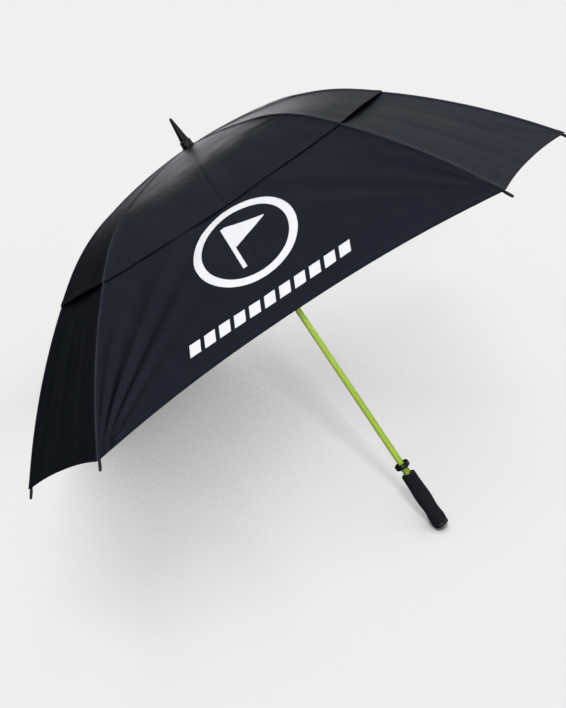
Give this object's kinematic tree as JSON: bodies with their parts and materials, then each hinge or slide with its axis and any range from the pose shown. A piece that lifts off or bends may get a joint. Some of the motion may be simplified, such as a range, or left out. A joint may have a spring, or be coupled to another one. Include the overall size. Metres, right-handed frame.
{
  "type": "golf umbrella",
  "caption": "Large vented golf umbrella, opened, with a folding rib frame, double canopy, tubular shaft, release collar and foam grip.",
  "frame": {"origin": "centre of the butt face at the lower end of the handle", "axes": "+Z along the shaft towards the ferrule, -Y towards the middle of a wide front panel, +X to its right"},
  "size_m": [1.1422, 1.1422, 1.009],
  "materials": {
    "lime_shaft": "satin lime paint on a metal tube",
    "lime_spring": "satin lime paint",
    "foam_grip": "matt moulded EVA foam with a fine grain",
    "black_plastic": "moulded nylon, satin",
    "gloss_black": "gloss moulded plastic",
    "fibreglass": "pultruded glass fibre rod, satin",
    "steel": "drawn steel",
    "canopy_cap": "woven nylon, slight sheen",
    "canopy_skirt": "woven nylon, slight sheen"
  },
  "bodies": {
    "root": {"shaft": "lime_shaft", "grip": "foam_grip", "butt_cap": "black_plastic", "ferrule": "gloss_black", "ferrule_collar": "gloss_black", "top_notch": "black_plastic", "notch_wire": "steel", "collar_spring": "lime_spring"},
    "release_collar": {"release_collar": "gloss_black"},
    "open_catch": {"open_catch": "steel"},
    "runner": {"runner": "black_plastic", "runner_wire": "steel"},
    "rib_inner_1": {"rib_inner_1": "fibreglass", "canopy_upper_1": "canopy_cap"},
    "rib_outer_1": {"rib_outer_1": "fibreglass", "rib_tip_1": "black_plastic", "canopy_lower_1": "canopy_skirt"},
    "stretcher_1": {"stretcher_1": "fibreglass"},
    "rib_inner_2": {"rib_inner_2": "fibreglass", "canopy_upper_2": "canopy_cap"},
    "rib_outer_2": {"rib_outer_2": "fibreglass", "rib_tip_2": "black_plastic", "canopy_lower_2": "canopy_skirt"},
    "stretcher_2": {"stretcher_2": "fibreglass"},
    "rib_inner_3": {"rib_inner_3": "fibreglass", "canopy_upper_3": "canopy_cap"},
    "rib_outer_3": {"rib_outer_3": "fibreglass", "rib_tip_3": "black_plastic", "canopy_lower_3": "canopy_skirt"},
    "stretcher_3": {"stretcher_3": "fibreglass"},
    "rib_inner_4": {"rib_inner_4": "fibreglass", "canopy_upper_4": "canopy_cap"},
    "rib_outer_4": {"rib_outer_4": "fibreglass", "rib_tip_4": "black_plastic", "canopy_lower_4": "canopy_skirt"},
    "stretcher_4": {"stretcher_4": "fibreglass"},
    "rib_inner_5": {"rib_inner_5": "fibreglass", "canopy_upper_5": "canopy_cap"},
    "rib_outer_5": {"rib_outer_5": "fibreglass", "rib_tip_5": "black_plastic", "canopy_lower_5": "canopy_skirt"},
    "stretcher_5": {"stretcher_5": "fibreglass"},
    "rib_inner_6": {"rib_inner_6": "fibreglass", "canopy_upper_6": "canopy_cap"},
    "rib_outer_6": {"rib_outer_6": "fibreglass", "rib_tip_6": "black_plastic", "canopy_lower_6": "canopy_skirt"},
    "stretcher_6": {"stretcher_6": "fibreglass"},
    "rib_inner_7": {"rib_inner_7": "fibreglass", "canopy_upper_7": "canopy_cap"},
    "rib_outer_7": {"rib_outer_7": "fibreglass", "rib_tip_7": "black_plastic", "canopy_lower_7": "canopy_skirt"},
    "stretcher_7": {"stretcher_7": "fibreglass"},
    "rib_inner_8": {"rib_inner_8": "fibreglass", "canopy_upper_8": "canopy_cap"},
    "rib_outer_8": {"rib_outer_8": "fibreglass", "rib_tip_8": "black_plastic", "canopy_lower_8": "canopy_skirt"},
    "stretcher_8": {"stretcher_8": "fibreglass"}
  },
  "joints": [
    {"name": "canopy_fold", "type": "hinge", "parent": "root", "child": "rib_inner_1", "pos_m": [0.01045, -0.01465, 0.936], "axis": [0.8141, 0.5807, 0], "range_deg": [0, 75], "deforming": ["canopy_upper_1"]},
    {"name": "rib_1_flex", "type": "hinge", "parent": "rib_inner_1", "child": "rib_outer_1", "pos_m": [0.22357, -0.31343, 0.85871], "axis": [0.8141, 0.5807, 0], "range_deg": [-23.1, 0], "deforming": ["canopy_lower_1"]},
    {"name": "stretcher_1_swing", "type": "hinge", "parent": "rib_inner_1", "child": "stretcher_1", "pos_m": [0.22084, -0.30961, 0.85104], "axis": [0.8141, 0.5807, 0], "range_deg": [-150.1, 0]},
    {"name": "rib_2_fold", "type": "hinge", "parent": "root", "child": "rib_inner_2", "pos_m": [0.01465, -0.01045, 0.936], "axis": [0.5807, 0.8141, 0], "range_deg": [0, 75], "deforming": ["canopy_upper_2"]},
    {"name": "rib_2_flex", "type": "hinge", "parent": "rib_inner_2", "child": "rib_outer_2", "pos_m": [0.31343, -0.22357, 0.85871], "axis": [0.5807, 0.8141, 0], "range_deg": [-23.1, 0], "deforming": ["canopy_lower_2"]},
    {"name": "stretcher_2_swing", "type": "hinge", "parent": "rib_inner_2", "child": "stretcher_2", "pos_m": [0.30961, -0.22084, 0.85104], "axis": [0.5807, 0.8141, 0], "range_deg": [-150.1, 0]},
    {"name": "rib_3_fold", "type": "hinge", "parent": "root", "child": "rib_inner_3", "pos_m": [0.01465, 0.01045, 0.936], "axis": [-0.5807, 0.8141, 0], "range_deg": [0, 75], "deforming": ["canopy_upper_3"]},
    {"name": "rib_3_flex", "type": "hinge", "parent": "rib_inner_3", "child": "rib_outer_3", "pos_m": [0.31343, 0.22357, 0.85871], "axis": [-0.5807, 0.8141, 0], "range_deg": [-23.1, 0], "deforming": ["canopy_lower_3"]},
    {"name": "stretcher_3_swing", "type": "hinge", "parent": "rib_inner_3", "child": "stretcher_3", "pos_m": [0.30961, 0.22084, 0.85104], "axis": [-0.5807, 0.8141, 0], "range_deg": [-150.1, 0]},
    {"name": "rib_4_fold", "type": "hinge", "parent": "root", "child": "rib_inner_4", "pos_m": [0.01045, 0.01465, 0.936], "axis": [-0.8141, 0.5807, 0], "range_deg": [0, 75], "deforming": ["canopy_upper_4"]},
    {"name": "rib_4_flex", "type": "hinge", "parent": "rib_inner_4", "child": "rib_outer_4", "pos_m": [0.22357, 0.31343, 0.85871], "axis": [-0.8141, 0.5807, 0], "range_deg": [-23.1, 0], "deforming": ["canopy_lower_4"]},
    {"name": "stretcher_4_swing", "type": "hinge", "parent": "rib_inner_4", "child": "stretcher_4", "pos_m": [0.22084, 0.30961, 0.85104], "axis": [-0.8141, 0.5807, 0], "range_deg": [-150.1, 0]},
    {"name": "rib_5_fold", "type": "hinge", "parent": "root", "child": "rib_inner_5", "pos_m": [-0.01045, 0.01465, 0.936], "axis": [-0.8141, -0.5807, 0], "range_deg": [0, 75], "deforming": ["canopy_upper_5"]},
    {"name": "rib_5_flex", "type": "hinge", "parent": "rib_inner_5", "child": "rib_outer_5", "pos_m": [-0.22357, 0.31343, 0.85871], "axis": [-0.8141, -0.5807, 0], "range_deg": [-23.1, 0], "deforming": ["canopy_lower_5"]},
    {"name": "stretcher_5_swing", "type": "hinge", "parent": "rib_inner_5", "child": "stretcher_5", "pos_m": [-0.22084, 0.30961, 0.85104], "axis": [-0.8141, -0.5807, 0], "range_deg": [-150.1, 0]},
    {"name": "rib_6_fold", "type": "hinge", "parent": "root", "child": "rib_inner_6", "pos_m": [-0.01465, 0.01045, 0.936], "axis": [-0.5807, -0.8141, 0], "range_deg": [0, 75], "deforming": ["canopy_upper_6"]},
    {"name": "rib_6_flex", "type": "hinge", "parent": "rib_inner_6", "child": "rib_outer_6", "pos_m": [-0.31343, 0.22357, 0.85871], "axis": [-0.5807, -0.8141, 0], "range_deg": [-23.1, 0], "deforming": ["canopy_lower_6"]},
    {"name": "stretcher_6_swing", "type": "hinge", "parent": "rib_inner_6", "child": "stretcher_6", "pos_m": [-0.30961, 0.22084, 0.85104], "axis": [-0.5807, -0.8141, 0], "range_deg": [-150.1, 0]},
    {"name": "rib_7_fold", "type": "hinge", "parent": "root", "child": "rib_inner_7", "pos_m": [-0.01465, -0.01045, 0.936], "axis": [0.5807, -0.8141, 0], "range_deg": [0, 75], "deforming": ["canopy_upper_7"]},
    {"name": "rib_7_flex", "type": "hinge", "parent": "rib_inner_7", "child": "rib_outer_7", "pos_m": [-0.31343, -0.22357, 0.85871], "axis": [0.5807, -0.8141, 0], "range_deg": [-23.1, 0], "deforming": ["canopy_lower_7"]},
    {"name": "stretcher_7_swing", "type": "hinge", "parent": "rib_inner_7", "child": "stretcher_7", "pos_m": [-0.30961, -0.22084, 0.85104], "axis": [0.5807, -0.8141, 0], "range_deg": [-150.1, 0]},
    {"name": "rib_8_fold", "type": "hinge", "parent": "root", "child": "rib_inner_8", "pos_m": [-0.01045, -0.01465, 0.936], "axis": [0.8141, -0.5807, 0], "range_deg": [0, 75], "deforming": ["canopy_upper_8"]},
    {"name": "rib_8_flex", "type": "hinge", "parent": "rib_inner_8", "child": "rib_outer_8", "pos_m": [-0.22357, -0.31343, 0.85871], "axis": [0.8141, -0.5807, 0], "range_deg": [-23.1, 0], "deforming": ["canopy_lower_8"]},
    {"name": "stretcher_8_swing", "type": "hinge", "parent": "rib_inner_8", "child": "stretcher_8", "pos_m": [-0.22084, -0.30961, 0.85104], "axis": [0.8141, -0.5807, 0], "range_deg": [-150.1, 0]},
    {"name": "runner_slide", "type": "hinge", "parent": "stretcher_1", "child": "runner", "pos_m": [0.01045, -0.01465, 0.76607], "axis": [0.8141, 0.5807, 0], "range_deg": [0, 75.1]},
    {"name": "collar_pull", "type": "slide", "parent": "root", "child": "release_collar", "axis": [0, 0, -1], "range_m": [0, 0.006], "stiffness_N_per_m": 400, "deforming": ["collar_spring"]},
    {"name": "catch_press", "type": "slide", "parent": "root", "child": "open_catch", "axis": [-1, 0, 0], "range_m": [0, 0.003]}
  ],
  "couplings": [
    {"joint": "rib_1_flex", "follows": "canopy_fold", "ratio": -0.30667},
    {"joint": "stretcher_1_swing", "follows": "canopy_fold", "ratio": -2},
    {"joint": "rib_2_fold", "follows": "canopy_fold", "ratio": 1},
    {"joint": "rib_2_flex", "follows": "canopy_fold", "ratio": -0.30667},
    {"joint": "stretcher_2_swing", "follows": "canopy_fold", "ratio": -2},
    {"joint": "rib_3_fold", "follows": "canopy_fold", "ratio": 1},
    {"joint": "rib_3_flex", "follows": "canopy_fold", "ratio": -0.30667},
    {"joint": "stretcher_3_swing", "follows": "canopy_fold", "ratio": -2},
    {"joint": "rib_4_fold", "follows": "canopy_fold", "ratio": 1},
    {"joint": "rib_4_flex", "follows": "canopy_fold", "ratio": -0.30667},
    {"joint": "stretcher_4_swing", "follows": "canopy_fold", "ratio": -2},
    {"joint": "rib_5_fold", "follows": "canopy_fold", "ratio": 1},
    {"joint": "rib_5_flex", "follows": "canopy_fold", "ratio": -0.30667},
    {"joint": "stretcher_5_swing", "follows": "canopy_fold", "ratio": -2},
    {"joint": "rib_6_fold", "follows": "canopy_fold", "ratio": 1},
    {"joint": "rib_6_flex", "follows": "canopy_fold", "ratio": -0.30667},
    {"joint": "stretcher_6_swing", "follows": "canopy_fold", "ratio": -2},
    {"joint": "rib_7_fold", "follows": "canopy_fold", "ratio": 1},
    {"joint": "rib_7_flex", "follows": "canopy_fold", "ratio": -0.30667},
    {"joint": "stretcher_7_swing", "follows": "canopy_fold", "ratio": -2},
    {"joint": "rib_8_fold", "follows": "canopy_fold", "ratio": 1},
    {"joint": "rib_8_flex", "follows": "canopy_fold", "ratio": -0.30667},
    {"joint": "stretcher_8_swing", "follows": "canopy_fold", "ratio": -2},
    {"joint": "runner_slide", "follows": "canopy_fold", "ratio": 1}
  ]
}
